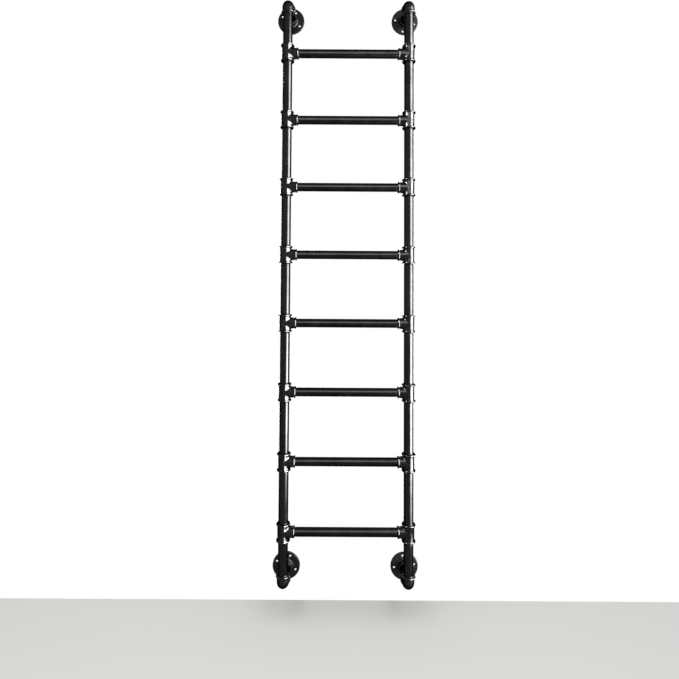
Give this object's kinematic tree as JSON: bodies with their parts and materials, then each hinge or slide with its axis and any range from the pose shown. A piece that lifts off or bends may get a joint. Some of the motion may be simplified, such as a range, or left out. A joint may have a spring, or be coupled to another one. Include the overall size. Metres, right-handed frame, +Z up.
{
  "type": "wall ladder shelf",
  "caption": "Wall-mounted ladder of threaded black iron pipe: stiles of pipes and beaded tees, rungs, and elbows turning back to round wall flanges.",
  "frame": {"origin": "on the wall plane, midway between the two bottom flanges, at the height of their axes", "axes": "+X to the viewer's right, +Y into the wall, +Z up; the front faces -Y"},
  "size_m": [0.532, 0.134, 2.129],
  "materials": {
    "black_cast_fittings": "semi-gloss black paint over malleable cast iron, with a fine cast texture",
    "black_pipe": "semi-gloss black paint on drawn iron pipe, smooth, with dark threads at the ends",
    "black_rung_pipe": "semi-gloss to satin black paint on drawn iron pipe"
  },
  "bodies": {
    "root": {"tee_left_1": "black_cast_fittings", "tee_left_2": "black_cast_fittings", "tee_left_3": "black_cast_fittings", "tee_left_4": "black_cast_fittings", "tee_left_5": "black_cast_fittings", "tee_left_6": "black_cast_fittings", "tee_left_7": "black_cast_fittings", "tee_left_8": "black_cast_fittings", "tee_right_1": "black_cast_fittings", "tee_right_2": "black_cast_fittings", "tee_right_3": "black_cast_fittings", "tee_right_4": "black_cast_fittings", "tee_right_5": "black_cast_fittings", "tee_right_6": "black_cast_fittings", "tee_right_7": "black_cast_fittings", "tee_right_8": "black_cast_fittings", "elbow_bottom_left": "black_cast_fittings", "elbow_bottom_right": "black_cast_fittings", "elbow_top_left": "black_cast_fittings", "elbow_top_right": "black_cast_fittings", "flange_bottom_left": "black_cast_fittings", "flange_bottom_right": "black_cast_fittings", "flange_top_left": "black_cast_fittings", "flange_top_right": "black_cast_fittings", "stile_pipe_left_1": "black_pipe", "stile_pipe_left_2": "black_pipe", "stile_pipe_left_3": "black_pipe", "stile_pipe_left_4": "black_pipe", "stile_pipe_left_5": "black_pipe", "stile_pipe_left_6": "black_pipe", "stile_pipe_left_7": "black_pipe", "stile_pipe_left_bottom": "black_pipe", "stile_pipe_left_top": "black_pipe", "stile_pipe_right_1": "black_pipe", "stile_pipe_right_2": "black_pipe", "stile_pipe_right_3": "black_pipe", "stile_pipe_right_4": "black_pipe", "stile_pipe_right_5": "black_pipe", "stile_pipe_right_6": "black_pipe", "stile_pipe_right_7": "black_pipe", "stile_pipe_right_bottom": "black_pipe", "stile_pipe_right_top": "black_pipe", "standoff_bottom_left": "black_pipe", "standoff_bottom_right": "black_pipe", "standoff_top_left": "black_pipe", "standoff_top_right": "black_pipe", "rung_1": "black_rung_pipe", "rung_2": "black_rung_pipe", "rung_3": "black_rung_pipe", "rung_4": "black_rung_pipe", "rung_5": "black_rung_pipe", "rung_6": "black_rung_pipe", "rung_7": "black_rung_pipe", "rung_8": "black_rung_pipe"}
  },
  "joints": []
}
